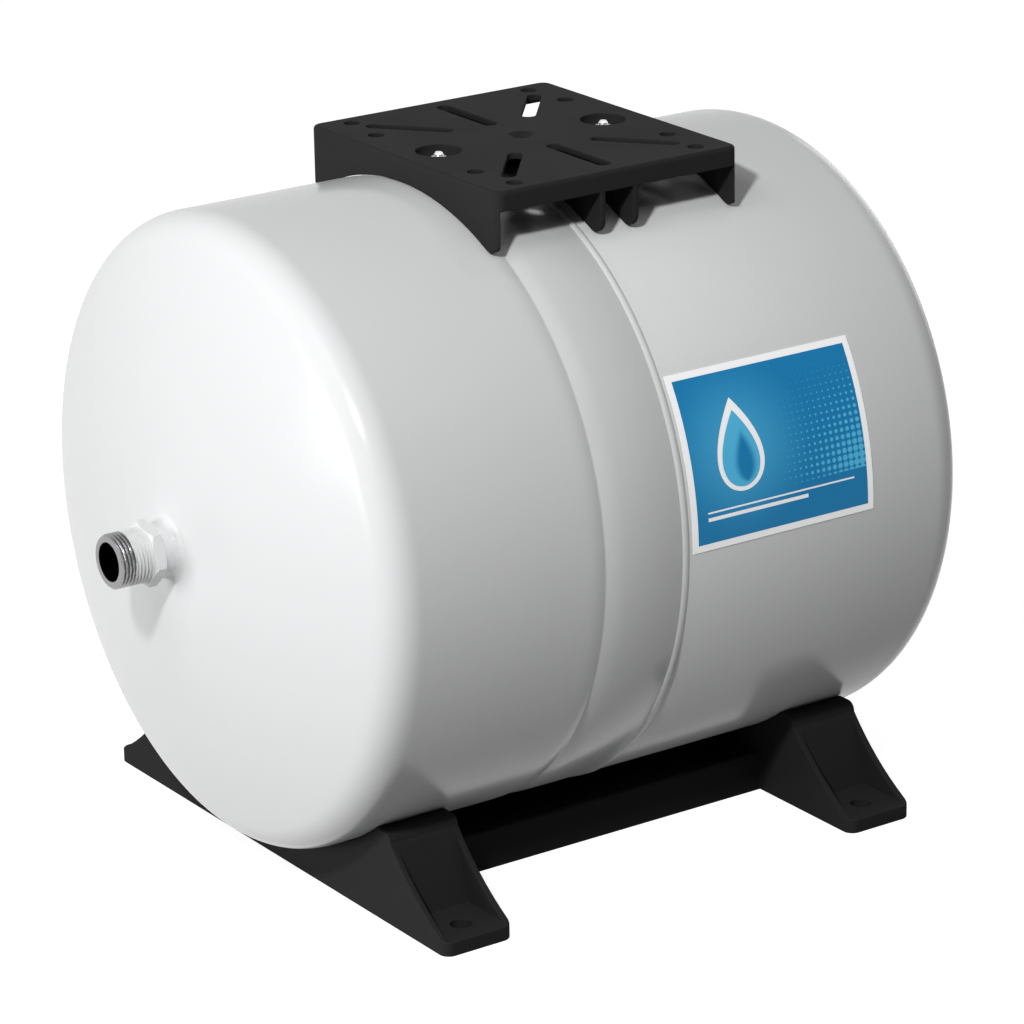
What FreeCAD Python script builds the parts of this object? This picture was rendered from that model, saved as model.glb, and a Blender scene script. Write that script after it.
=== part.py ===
import FreeCAD, Part
import math
import os
import re

import Sketcher

# Horizontal well pressure tank: two domed steel shells welded at the girth, a diaphragm between
# water and air, a threaded inlet in the front dome, a charging valve in the rear dome, a moulded
# base below and a moulded pump platform above.
# Frame: X along the tank with the inlet at -X, the label on the -Y side, Z up, and the origin on
# the floor at the middle of the four holes in the feet. All lengths are in millimetres.

SIZES = {
    # Steel shells
    "tank_dia": 389,
    "plate": 1.8,
    "straight_half": 186.9,
    "dish_depth": 53.8,
    "knuckle": 25,
    "belly_height": 19.2,
    # Rolled groove that traps the diaphragm, on the inlet side of the girth weld
    "groove_place": 59.9,
    "groove_front_run": 15,
    "groove_rear_run": 13,
    "groove_depth": 1.8,
    # Girth weld
    "weld_place": 3.3,
    "weld_width": 5,
    "weld_crown": 1.4,
    "weld_root": 0.4,
    # Inlet nipple
    "thread_dia": 33.25,
    "thread_len": 21.5,
    "mouth_chamfer": 1.2,
    "nipple_bore": 23.4,
    "nipple_reach": 38.8,
    "collar_flats": 34.8,
    "collar_len": 7.7,
    "collar_chamfer": 1,
    "collar_turn": 12,
    "inlet_weld_leg": 5.5,
    "inlet_weld_hollow": 6.6,
    # Plastic liner of the water side and its seal rings
    "liner_wall": 2,
    "liner_gap": 0.3,
    "liner_rim": 18,
    "neck_gap": 0.2,
    "neck_wall": 2.8,
    "neck_depth": 14,
    "seal_cord": 2,
    "seal_groove_width": 2.6,
    "seal_place": 4.2,
    "seal_pitch": 7,
    # Rubber diaphragm and the ring that clamps it
    "rubber": 2.5,
    "rubber_setback": 14.3,
    "rubber_knuckle": 40,
    "rubber_room": 4.2,
    "ring_len": 34,
    "ring_plate": 2,
    "ring_flange": 6,
    # Charging valve in the rear dome
    "boss_flange_dia": 26,
    "boss_flange": 3,
    "boss_dia": 18,
    "boss_len": 14,
    "valve_hex": 14,
    "valve_hex_len": 5,
    "valve_thread_dia": 10,
    "valve_tail": 11,
    "stem_dia": 7.7,
    "stem_len": 14,
    "valve_bore": 5,
    "core_gap": 0.1,
    "core_len": 16,
    "core_pin_dia": 1.6,
    "core_pin_len": 3,
    "core_pin_recess": 1,
    "valve_seal_cord": 1.6,
    "cap_gap": 0.15,
    "cap_wall": 1.6,
    "cap_len": 11,
    "cover_gap": 0.15,
    "cover_wall": 2,
    "cover_len": 29,
    "cover_round": 3,
    # Label on the rear shell
    "label_start": 1.5,
    "label_width": 135,
    "label_film": 0.2,
    "label_glue": 0.2,
    "label_low": 0.2,
    "label_sweep": 31.5,
    # Pump platform
    "platform_place": 18.6,
    "platform_len": 176.4,
    "platform_width": 202.4,
    "platform_rise": 15.1,
    "platform_plate": 4,
    "platform_wall": 3.6,
    "platform_rim": 12.3,
    "platform_corner": 7,
    "platform_edge": 2.5,
    "platform_toe_round": 8,
    "platform_gap": 0.2,
    "rib_spacing": 24,
    "rib_wall": 3.5,
    "pump_hole_dia": 10,
    "pump_hole_end_room": 18.1,
    "pump_hole_step": 4.2,
    "pump_hole_inner": 107.2,
    "pump_hole_side_room": 13.7,
    "slot_width": 9,
    "cross_slot_near": 34,
    "cross_slot_room": 16.7,
    "ray_slot_angle": 50.5,
    "ray_slot_near": 47.7,
    "ray_slot_room": 28.7,
    "centre_hole_dia": 8,
    "centre_dish_dia": 17,
    "centre_dish_depth": 2.4,
    "cup_end_room": 27.7,
    "cup_mouth_dia": 28,
    "cup_floor_dia": 19,
    "cup_floor": 4.4,
    "cup_wall": 3,
    "cup_round": 11.2,
    # Studs, washers and nuts that hold both mouldings
    "stud_dia": 6,
    "stud_weld_dia": 7.6,
    "stud_weld_len": 1,
    "stud_hole_dia": 8.4,
    "stud_proud": 3,
    "stud_chamfer": 1,
    "washer_dia": 12,
    "washer_bore": 6.4,
    "washer_thick": 1.6,
    "nut_flats": 10,
    "nut_len": 5,
    # Base
    "foot_setback": 37,
    "foot_hole_inset": 25.5,
    "foot_width": 48.4,
    "foot_wall": 4,
    "foot_hole_dia": 13,
    "foot_boss_dia": 24,
    "toe_room": 20,
    "toe_flat": 3,
    "toe_round": 7,
    "pad_height": 9,
    "pad_skin": 4,
    "saddle_angle": 37.2,
    "horn_land": 14.5,
    "horn_round": 6,
    "slope_radius": 170,
    "web_room": 21.5,
    "saddle_gap": 0.2,
    "saddle_skin": 4,
    "beam_inset": 34.3,
    "beam_wall": 4,
    "beam_lip": 9,
    "deck_room": 3.5,
    "deck_plate": 4,
    "tray_rib_place": 43,
    "tray_rib_wall": 3,
    # How far a cutting outline runs past the material
    "overrun": 1,
}

doc = FreeCAD.newDocument("well_pressure_tank")
sheet = doc.addObject("Spreadsheet::Sheet", "Sizes")
for row, (alias, number) in enumerate(SIZES.items(), start=1):
    sheet.set(f"A{row}", alias)
    sheet.set(f"B{row}", str(number))
    sheet.setAlias(f"B{row}", alias)
doc.recompute()


def bound(text):
    """The expression with each size's name pointed at the sheet."""
    return re.sub(r"[a-z]\w*", lambda word: f"Sizes.{word[0]}" if word[0] in SIZES else word[0], text)


def value(text):
    return float(sheet.evalExpression(bound(text)))


def sub_part(name, along="0", across="0", up="0"):
    """One piece of the product, placed by expressions."""
    body = doc.addObject("PartDesign::Body", name)
    body.Label = name
    for axis, place in (("x", along), ("y", across), ("z", up)):
        body.setExpression(f"Placement.Base.{axis}", bound(place))
    return body


def arc_between(start, end, radius, turn):
    """The short arc from start to end, left-handed when turn is 1 and right-handed when -1."""
    chord = end - start
    rise = math.sqrt(max(radius ** 2 - (chord.Length / 2) ** 2, 0))
    left = FreeCAD.Vector(-chord.y, chord.x, 0).normalize()
    centre = (start + end) / 2 + left * rise * turn
    first, last = (start, end) if turn > 0 else (end, start)
    circle = Part.Circle(centre, FreeCAD.Vector(0, 0, 1), radius)
    from_angle = math.atan2(first.y - centre.y, first.x - centre.x)
    to_angle = math.atan2(last.y - centre.y, last.x - centre.x)
    return Part.ArcOfCircle(circle, from_angle, to_angle)


def sketch_on(body, plane, name, offset=None):
    sketch = body.newObject("Sketcher::SketchObject", f"{body.Name}_{name}")
    support = next(item for item in body.Origin.OriginFeatures if item.Role == plane)
    sketch.AttachmentSupport = [(support, "")]
    sketch.MapMode = "FlatFace"
    if offset:
        sketch.setExpression("AttachmentOffset.Base.z", bound(offset))
    return sketch


def add_loop(sketch, corners):
    """A closed outline. A corner is (u, v), or (u, v, radius, turn) where an arc arrives at it."""
    points = [FreeCAD.Vector(value(corner[0]), value(corner[1]), 0) for corner in corners]
    first = sketch.GeometryCount
    edges = []
    ends = []
    for index, corner in enumerate(corners):
        start = points[index - 1]
        end = points[index]
        if len(corner) == 2:
            edges.append(Part.LineSegment(start, end))
            ends.append((1, 2))
        else:
            edges.append(arc_between(start, end, value(corner[2]), corner[3]))
            ends.append((1, 2) if corner[3] > 0 else (2, 1))
    sketch.addGeometry(edges, False)
    rules = []
    texts = []
    for index, corner in enumerate(corners):
        after = (index + 1) % len(corners)
        rules.append(Sketcher.Constraint("Coincident", first + index, ends[index][1],
                                         first + after, ends[after][0]))
        texts.append(None)
        for kind, text in (("DistanceX", corner[0]), ("DistanceY", corner[1])):
            rules.append(Sketcher.Constraint(kind, -1, 1, first + index, ends[index][1], value(text)))
            texts.append(text)
        if len(corner) > 2:
            rules.append(Sketcher.Constraint("Radius", first + index, value(corner[2])))
            texts.append(corner[2])
    bind_rules(sketch, rules, texts)


def add_circle(sketch, across, up, radius):
    centre = FreeCAD.Vector(value(across), value(up), 0)
    index = sketch.GeometryCount
    sketch.addGeometry(Part.Circle(centre, FreeCAD.Vector(0, 0, 1), value(radius)), False)
    rules = [
        Sketcher.Constraint("DistanceX", -1, 1, index, 3, centre.x),
        Sketcher.Constraint("DistanceY", -1, 1, index, 3, centre.y),
        Sketcher.Constraint("Radius", index, value(radius)),
    ]
    bind_rules(sketch, rules, [across, up, radius])


def bind_rules(sketch, rules, texts):
    first = sketch.ConstraintCount
    sketch.addConstraint(rules)
    for index, text in enumerate(texts):
        if text is not None:
            sketch.setExpression(f"Constraints[{first + index}]", bound(text))


def add_rectangle(sketch, left, right, low, high):
    add_loop(sketch, [(left, low), (right, low), (right, high), (left, high)])


def add_hexagon(sketch, flats, turn="0"):
    corner = f"({flats}) / sqrt(3)"
    add_loop(sketch, [(f"{corner} * cos({60 * step} + {turn})", f"{corner} * sin({60 * step} + {turn})")
                      for step in range(6)])


def revolve(body, name, corners, axis="H_Axis", angle="360"):
    """A turned solid: the outline lies in the body's XZ plane and turns about X or Z."""
    sketch = sketch_on(body, "XZ_Plane", f"{name}_outline")
    add_loop(sketch, corners)
    feature = body.newObject("PartDesign::Revolution", f"{body.Name}_{name}")
    feature.Profile = sketch
    feature.ReferenceAxis = (sketch, [axis])
    feature.setExpression("Angle", bound(angle))
    return feature


def pad(body, name, sketch, length, symmetric=False):
    feature = body.newObject("PartDesign::Pad", f"{body.Name}_{name}")
    feature.Profile = sketch
    feature.setExpression("Length", bound(length))
    if symmetric:
        feature.SideType = "Symmetric"
    return feature


def pocket(body, name, sketch, length=None, reverse=False, symmetric=False):
    """A cut along the sketch's normal: down by default, up when reversed, through when unlimited."""
    feature = body.newObject("PartDesign::Pocket", f"{body.Name}_{name}")
    feature.Profile = sketch
    feature.Reversed = reverse
    if symmetric:
        feature.SideType = "Symmetric"
    if length is None:
        feature.Type = "ThroughAll"
    else:
        feature.setExpression("Length", bound(length))
    return feature


def dress(body, name, kind, size, wanted):
    """A fillet or chamfer on the edges of the body's tip that the test picks."""
    doc.recompute()
    base = body.Tip
    picked = [f"Edge{index}" for index, edge in enumerate(base.Shape.Edges, start=1) if wanted(edge)]
    feature = body.newObject(f"PartDesign::{kind}", f"{body.Name}_{name}")
    feature.Base = (base, picked)
    feature.setExpression("Radius" if kind == "Fillet" else "Size", bound(size))
    return feature


def near(first, second):
    return abs(first - second) < 0.01


# Shell profile. Each dome is a crown arc on the axis, joined by a knuckle arc to the straight
# wall. The outside, the inside and the liner's two faces are the same curve at growing depth.

tank_radius = "(tank_dia / 2)"
axis_height = f"(belly_height + {tank_radius})"
crown = f"((dish_depth^2 + ({tank_radius} - knuckle)^2 - knuckle^2) / (2 * (dish_depth - knuckle)))"
apex = "(straight_half + dish_depth)"
crown_middle = f"({crown} - {apex})"


def dome_tangent(depth):
    """Where the crown arc meets the knuckle arc, as distance from the middle and radius."""
    reach = f"(({crown} - {depth}) / ({crown} - knuckle))"
    place = f"(({crown_middle} + straight_half) * {reach} - {crown_middle})"
    return place, f"(({tank_radius} - knuckle) * {reach})"


def dome_place(depth, at_radius):
    """Distance from the middle at which the crown arc stands at a radius."""
    return f"(sqrt(({crown} - {depth})^2 - ({at_radius})^2) - {crown_middle})"


def groove_radius(run):
    return f"(({run})^2 + groove_depth^2) / (2 * groove_depth)"


# Front shell: drawn steel, with the inlet hole in its dome and the rolled groove near its open
# end. The end is bevelled for the weld.

front_shell = sub_part("front_shell", up=axis_height)
tangent_out = dome_tangent("0")
tangent_in = dome_tangent("plate")
inner = f"({tank_radius} - plate)"
groove_start = "-groove_place - groove_front_run"
groove_end = "-groove_place + groove_rear_run"
inlet_hole = "thread_dia / 2"
revolve(front_shell, "wall", [
    (f"-{dome_place('plate', inlet_hole)}", inlet_hole),
    (f"-{tangent_in[0]}", tangent_in[1], f"{crown} - plate", -1),
    ("-straight_half", inner, "knuckle - plate", -1),
    (groove_start, inner),
    ("-groove_place", f"{inner} - groove_depth", groove_radius("groove_front_run"), -1),
    (groove_end, inner, groove_radius("groove_rear_run"), -1),
    ("-weld_place", inner),
    ("-weld_place", f"{inner} + weld_root"),
    ("-weld_place - weld_width / 2", tank_radius),
    (groove_end, tank_radius),
    ("-groove_place", f"{tank_radius} - groove_depth", groove_radius("groove_rear_run"), 1),
    (groove_start, tank_radius, groove_radius("groove_front_run"), 1),
    ("-straight_half", tank_radius),
    (f"-{tangent_out[0]}", tangent_out[1], "knuckle", 1),
    (f"-{dome_place('0', inlet_hole)}", inlet_hole, crown, 1),
])

# Rear shell: the same pressing without a groove, with the valve boss hole in its dome.

rear_shell = sub_part("rear_shell", up=axis_height)
boss_hole = "boss_dia / 2"
revolve(rear_shell, "wall", [
    (dome_place("0", boss_hole), boss_hole),
    (tangent_out[0], tangent_out[1], crown, 1),
    ("straight_half", tank_radius, "knuckle", 1),
    ("-weld_place + weld_width / 2", tank_radius),
    ("-weld_place", f"{inner} + weld_root"),
    ("-weld_place", inner),
    ("straight_half", inner),
    (tangent_in[0], tangent_in[1], "knuckle - plate", -1),
    (dome_place("plate", boss_hole), boss_hole, f"{crown} - plate", -1),
])

# Girth weld: fills the bevel between the shells and stands proud as a low round bead.

girth_weld = sub_part("girth_weld", up=axis_height)
bead_radius = "((weld_width / 2)^2 + weld_crown^2) / (2 * weld_crown)"
revolve(girth_weld, "bead", [
    ("-weld_place", f"{inner} + weld_root"),
    ("-weld_place + weld_width / 2", tank_radius),
    ("-weld_place - weld_width / 2", tank_radius, bead_radius, 1),
])

# Inlet nipple: stainless, with a male pipe thread, a hexagonal collar and a plain neck that
# passes through the front dome.

inlet_nipple = sub_part("inlet_nipple", up=axis_height)
mouth = f"(-{apex} - nipple_reach)"
collar_start = f"({mouth} + thread_len)"
collar_end = f"({collar_start} + collar_len)"
neck_end = f"(-{apex} + plate)"
revolve(inlet_nipple, "turned", [
    (mouth, "nipple_bore / 2"),
    (neck_end, "nipple_bore / 2"),
    (neck_end, "thread_dia / 2"),
    (f"{mouth} + mouth_chamfer", "thread_dia / 2"),
    (mouth, "thread_dia / 2 - mouth_chamfer"),
])
collar_sketch = sketch_on(inlet_nipple, "YZ_Plane", "collar_outline", collar_start)
add_hexagon(collar_sketch, "collar_flats", "collar_turn")
wall_middle = "(nipple_bore + thread_dia) / 4"
add_circle(collar_sketch, "0", "0", wall_middle)
pad(inlet_nipple, "collar", collar_sketch, "collar_len")
corner_ring = "collar_flats / sqrt(3)"
chamfer_sketch = sketch_on(inlet_nipple, "XZ_Plane", "collar_turning_outline")
for face, step in ((collar_start, "collar_chamfer"), (collar_end, "-collar_chamfer")):
    add_loop(chamfer_sketch, [
        (face, f"{corner_ring} - 2 * collar_chamfer"),
        (f"{face} + {step}", f"{corner_ring} + overrun"),
        (face, f"{corner_ring} + overrun"),
    ])
collar_turning = inlet_nipple.newObject("PartDesign::Groove", "inlet_nipple_collar_turning")
collar_turning.Profile = chamfer_sketch
collar_turning.ReferenceAxis = (chamfer_sketch, ["H_Axis"])
collar_turning.Angle = 360

# Inlet weld: a hollow fillet between the nipple's neck and the front dome.

inlet_weld = sub_part("inlet_weld", up=axis_height)
weld_foot = "(thread_dia / 2 + inlet_weld_leg)"
revolve(inlet_weld, "fillet", [
    (f"-{dome_place('0', 'thread_dia / 2')}", "thread_dia / 2"),
    (f"-{dome_place('0', weld_foot)}", weld_foot, crown, -1),
    (f"-{dome_place('0', 'thread_dia / 2')} - inlet_weld_leg", "thread_dia / 2",
     "inlet_weld_hollow", -1),
])

# Water liner: moulded plastic that keeps the water off the steel. Its neck lines the nipple's
# bore and carries two seal rings, and its rim steps in under the rolled groove.

water_liner = sub_part("water_liner", up=axis_height)
liner_outer = "(plate + liner_gap)"
liner_inner = "(plate + liner_gap + liner_wall)"
neck_outside = "(nipple_bore / 2 - neck_gap)"
neck_inside = "(nipple_bore / 2 - neck_gap - neck_wall)"
neck_mouth = f"({mouth} + neck_depth)"
rim_outside = f"({inner} - groove_depth - liner_gap)"
rim_inside = f"({rim_outside} - liner_wall)"
rim_end = "(-groove_place + liner_rim)"
tangent_liner_out = dome_tangent(liner_outer)
tangent_liner_in = dome_tangent(liner_inner)
revolve(water_liner, "wall", [
    (neck_mouth, neck_inside),
    (f"-{dome_place(liner_inner, neck_inside)}", neck_inside),
    (f"-{tangent_liner_in[0]}", tangent_liner_in[1], f"{crown} - {liner_inner}", -1),
    ("-straight_half", f"{tank_radius} - {liner_inner}", f"knuckle - {liner_inner}", -1),
    (groove_start, f"{tank_radius} - {liner_inner}"),
    ("-groove_place", rim_inside),
    (rim_end, rim_inside),
    (rim_end, rim_outside),
    ("-groove_place", rim_outside),
    (groove_start, f"{tank_radius} - {liner_outer}"),
    ("-straight_half", f"{tank_radius} - {liner_outer}"),
    (f"-{tangent_liner_out[0]}", tangent_liner_out[1], f"knuckle - {liner_outer}", 1),
    (f"-{dome_place(liner_outer, neck_outside)}", neck_outside, f"{crown} - {liner_outer}", 1),
    (neck_mouth, neck_outside),
])
seal_floor = "(nipple_bore / 2 - seal_cord)"
seal_places = [f"({neck_mouth} + seal_place)", f"({neck_mouth} + seal_place + seal_pitch)"]
seal_groove_sketch = sketch_on(water_liner, "XZ_Plane", "seal_groove_outline")
for place in seal_places:
    add_rectangle(seal_groove_sketch, f"{place} - seal_groove_width / 2",
                  f"{place} + seal_groove_width / 2", seal_floor, "nipple_bore / 2")
seal_groove = water_liner.newObject("PartDesign::Groove", "water_liner_seal_groove")
seal_groove.Profile = seal_groove_sketch
seal_groove.ReferenceAxis = (seal_groove_sketch, ["H_Axis"])
seal_groove.Angle = 360


def ring_of_cord(name, along, cord, outside):
    """A rubber ring of round section, turned about the tank's axis."""
    body = sub_part(name, along=along, up=axis_height)
    sketch = sketch_on(body, "XZ_Plane", "section")
    add_circle(sketch, "0", f"{outside} - {cord} / 2", f"{cord} / 2")
    feature = body.newObject("PartDesign::Revolution", f"{name}_turned")
    feature.Profile = sketch
    feature.ReferenceAxis = (sketch, ["H_Axis"])
    feature.Angle = 360
    return body


# Seal rings: two rubber rings between the liner's neck and the nipple's bore.

for name, place in zip(("neck_seal_outer", "neck_seal_inner"), seal_places):
    ring_of_cord(name, place, "seal_cord", "nipple_bore / 2")

# Diaphragm: a moulded rubber bowl that lies towards the water side, because the tank is charged
# with air and holds no water.

diaphragm = sub_part("diaphragm", up=axis_height)
bowl = rim_inside
rubber_straight = "(straight_half - rubber_setback)"
rubber_nose = f"({apex} - {liner_inner} - rubber_room)"
bowl_dish = f"({rubber_nose} - {rubber_straight})"
bowl_crown = (f"(({bowl_dish}^2 + ({bowl} - rubber_knuckle)^2 - rubber_knuckle^2)"
              f" / (2 * ({bowl_dish} - rubber_knuckle)))")
bowl_middle = f"({bowl_crown} - {rubber_nose})"


def bowl_tangent(depth):
    reach = f"(({bowl_crown} - {depth}) / ({bowl_crown} - rubber_knuckle))"
    place = f"(({bowl_middle} + {rubber_straight}) * {reach} - {bowl_middle})"
    return place, f"(({bowl} - rubber_knuckle) * {reach})"


bowl_out = bowl_tangent("0")
bowl_in = bowl_tangent("rubber")
revolve(diaphragm, "bowl", [
    (f"-{rubber_nose} + rubber", "0"),
    (f"-{bowl_in[0]}", bowl_in[1], f"{bowl_crown} - rubber", -1),
    (f"-{rubber_straight}", f"{bowl} - rubber", "rubber_knuckle - rubber", -1),
    (rim_end, f"{bowl} - rubber"),
    (rim_end, bowl),
    (f"-{rubber_straight}", bowl),
    (f"-{bowl_out[0]}", bowl_out[1], "rubber_knuckle", 1),
    (f"-{rubber_nose}", "0", bowl_crown, 1),
])

# Clench ring: rolled steel channel that presses the diaphragm and the liner's rim into the
# shell's groove.

clench_ring = sub_part("clench_ring", up=axis_height)
ring_outside = f"({bowl} - rubber)"
ring_start = "(-groove_place - ring_len / 2)"
ring_end = "(-groove_place + ring_len / 2)"
revolve(clench_ring, "channel", [
    (ring_start, f"{ring_outside} - ring_flange"),
    (f"{ring_start} + ring_plate", f"{ring_outside} - ring_flange"),
    (f"{ring_start} + ring_plate", f"{ring_outside} - ring_plate"),
    (f"{ring_end} - ring_plate", f"{ring_outside} - ring_plate"),
    (f"{ring_end} - ring_plate", f"{ring_outside} - ring_flange"),
    (ring_end, f"{ring_outside} - ring_flange"),
    (ring_end, ring_outside),
    (ring_start, ring_outside),
])

# Valve boss: a turned steel bush welded in the middle of the rear dome.

air_valve_boss = sub_part("air_valve_boss", along=apex, up=axis_height)
revolve(air_valve_boss, "turned", [
    ("boss_flange - boss_len", "valve_thread_dia / 2"),
    ("boss_flange", "valve_thread_dia / 2"),
    ("boss_flange", "boss_flange_dia / 2"),
    ("0", "boss_flange_dia / 2"),
    ("0", "boss_dia / 2"),
    ("boss_flange - boss_len", "boss_dia / 2"),
])

# Air valve: a brass body screwed into the boss, a rubber ring under its hexagon, the spring core
# in its bore and a plastic cap on its stem.

air_valve_body = sub_part("air_valve_body", along=apex, up=axis_height)
hexagon_start = "boss_flange"
hexagon_end = "(boss_flange + valve_hex_len)"
hexagon_sketch = sketch_on(air_valve_body, "YZ_Plane", "hexagon_outline", hexagon_start)
add_hexagon(hexagon_sketch, "valve_hex")
add_circle(hexagon_sketch, "0", "0", "valve_bore / 2")
pad(air_valve_body, "hexagon", hexagon_sketch, "valve_hex_len")
seal_inside = "(valve_thread_dia / 2 - valve_seal_cord)"
revolve(air_valve_body, "turned", [
    (f"{hexagon_start} - valve_tail", "valve_bore / 2"),
    (f"{hexagon_end} + stem_len", "valve_bore / 2"),
    (f"{hexagon_end} + stem_len", "stem_dia / 2"),
    (f"{hexagon_end}", "stem_dia / 2"),
    (f"{hexagon_start}", "stem_dia / 2"),
    (f"{hexagon_start}", seal_inside),
    (f"{hexagon_start} - valve_seal_cord", seal_inside),
    (f"{hexagon_start} - valve_seal_cord", "valve_thread_dia / 2"),
    (f"{hexagon_start} - valve_tail", "valve_thread_dia / 2"),
])
ring_of_cord("air_valve_seal", f"{apex} + {hexagon_start} - valve_seal_cord / 2",
             "valve_seal_cord", "valve_thread_dia / 2")

air_valve_core = sub_part("air_valve_core", along=apex, up=axis_height)
stem_tip = f"({hexagon_end} + stem_len)"
core_radius = "(valve_bore / 2 - core_gap)"
revolve(air_valve_core, "turned", [
    (f"{stem_tip} - core_len - core_pin_len", "0"),
    (f"{stem_tip} - core_pin_recess", "0"),
    (f"{stem_tip} - core_pin_recess", "core_pin_dia / 2"),
    (f"{stem_tip} - core_pin_len", "core_pin_dia / 2"),
    (f"{stem_tip} - core_pin_len", core_radius),
    (f"{stem_tip} - core_len", core_radius),
    (f"{stem_tip} - core_len", "core_pin_dia"),
    (f"{stem_tip} - core_len - core_pin_len", "core_pin_dia"),
])

air_valve_cap = sub_part("air_valve_cap", along=apex, up=axis_height)
cap_inside = "(stem_dia / 2 + cap_gap)"
cap_roof = f"({stem_tip} + cap_gap)"
revolve(air_valve_cap, "cup", [
    (f"{cap_roof} - cap_len + cap_wall", cap_inside),
    (cap_roof, cap_inside),
    (cap_roof, "0"),
    (f"{cap_roof} + cap_wall", "0"),
    (f"{cap_roof} + cap_wall", f"{cap_inside} + cap_wall / 2"),
    (f"{cap_roof} + cap_wall / 2", f"{cap_inside} + cap_wall"),
    (f"{cap_roof} - cap_len + cap_wall", f"{cap_inside} + cap_wall"),
])

# Valve cover: a plain moulded cup pushed over the boss flange.

valve_cover = sub_part("valve_cover", along=apex, up=axis_height)
cover_inside = "(boss_flange_dia / 2 + cover_gap)"
cover_outside = f"({cover_inside} + cover_wall)"
cover_foot = "boss_flange / 2"
cover_roof = f"({cover_foot} + cover_len)"
revolve(valve_cover, "cup", [
    (cover_foot, cover_inside),
    (f"{cover_roof} - cover_wall", cover_inside),
    (f"{cover_roof} - cover_wall", "0"),
    (cover_roof, "0"),
    (cover_roof, f"{cover_outside} - cover_round"),
    (f"{cover_roof} - cover_round", cover_outside, "cover_round", 1),
    (cover_foot, cover_outside),
])

# Label: printed film on the side of the rear shell, on a layer of glue.

film = sub_part("label", up=axis_height)
film.setExpression("Placement.Rotation.Axis.x", "1")
film.setExpression("Placement.Rotation.Axis.z", "0")
film.setExpression("Placement.Rotation.Angle", bound("90 + label_low - label_sweep"))
film_inside = f"{tank_radius} + label_glue"
film_outside = f"{film_inside} + label_film"
revolve(film, "film", [
    ("label_start", film_inside),
    ("label_start + label_width", film_inside),
    ("label_start + label_width", film_outside),
    ("label_start", film_outside),
], angle="label_sweep")

# Pump platform: one moulding with a flat top, four cross walls that sit on the tank, side rims,
# slots and holes for a pump's feet, and two dished cups where it is held down.

platform = sub_part("pump_platform", along="platform_place", up=axis_height)
top = f"({tank_radius} + platform_rise)"
seat = f"({tank_radius} + platform_gap)"
half_len = "platform_len / 2"
half_width = "platform_width / 2"
corner = "platform_corner"
hole_along = f"({half_len} - pump_hole_end_room)"
hole_places = [(hole_along, "pump_hole_inner / 2"),
               (f"({hole_along} - pump_hole_step)", f"({half_width} - pump_hole_side_room)")]
cup_place = f"({half_len} - cup_end_room)"
block_sketch = sketch_on(platform, "XY_Plane", "block_outline")
add_loop(block_sketch, [
    (f"{half_len} - {corner}", f"-{half_width}"),
    (half_len, f"-{half_width} + {corner}", corner, 1),
    (half_len, f"{half_width} - {corner}"),
    (f"{half_len} - {corner}", half_width, corner, 1),
    (f"-{half_len} + {corner}", half_width),
    (f"-{half_len}", f"{half_width} - {corner}", corner, 1),
    (f"-{half_len}", f"-{half_width} + {corner}"),
    (f"-{half_len} + {corner}", f"-{half_width}", corner, 1),
])
pad(platform, "block", block_sketch, top)


def platform_top_edge(edge):
    return near(edge.BoundBox.ZMin, value(top)) and near(edge.BoundBox.ZLength, 0)


dress(platform, "top_edge", "Fillet", "platform_edge", platform_top_edge)

# The underside follows the tank, and the cross walls end in round toes at the sides.

toe_rise = f"sqrt(({seat} + platform_toe_round)^2 - ({half_width} - platform_toe_round)^2)"
toe_share = f"({seat} / ({seat} + platform_toe_round))"
toe_seat = (f"(({half_width} - platform_toe_round) * {toe_share})", f"({toe_rise} * {toe_share})")
under_sketch = sketch_on(platform, "YZ_Plane", "underside_outline")
add_loop(under_sketch, [
    (f"{half_width} + overrun", "-overrun"),
    (f"{half_width} + overrun", toe_rise),
    (half_width, toe_rise),
    (toe_seat[0], toe_seat[1], "platform_toe_round", -1),
    (f"-{toe_seat[0]}", toe_seat[1], seat, 1),
    (f"-{half_width}", toe_rise, "platform_toe_round", -1),
    (f"-{half_width} - overrun", toe_rise),
    (f"-{half_width} - overrun", "-overrun"),
])
pocket(platform, "underside", under_sketch, "platform_len + 2 * overrun", symmetric=True)


def bay_edges(wall):
    """The three bays between the cross walls, from front to rear."""
    inside = f"({half_len} - {wall})"
    rib_near = "(rib_spacing / 2 - rib_wall / 2)"
    rib_far = "(rib_spacing / 2 + rib_wall / 2)"
    return [(f"-{inside}", f"-{rib_far}"), (f"-{rib_near}", rib_near), (rib_far, inside)]


bay_sketch = sketch_on(platform, "XY_Plane", "bay_outline")
opening_sketch = sketch_on(platform, "XY_Plane", "side_opening_outline")
for left, right in bay_edges("platform_wall"):
    side = f"({half_width} - platform_wall)"
    add_rectangle(bay_sketch, left, right, f"-{side}", side)
    add_rectangle(opening_sketch, left, right, f"-({half_width} + overrun)", f"{half_width} + overrun")
pocket(platform, "bays", bay_sketch, f"{top} - platform_plate", reverse=True)
pocket(platform, "side_openings", opening_sketch, f"{top} - platform_rim", reverse=True)

# Cups: a cone below the plate down to the tank, dished from above, with the stud's hole.

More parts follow.
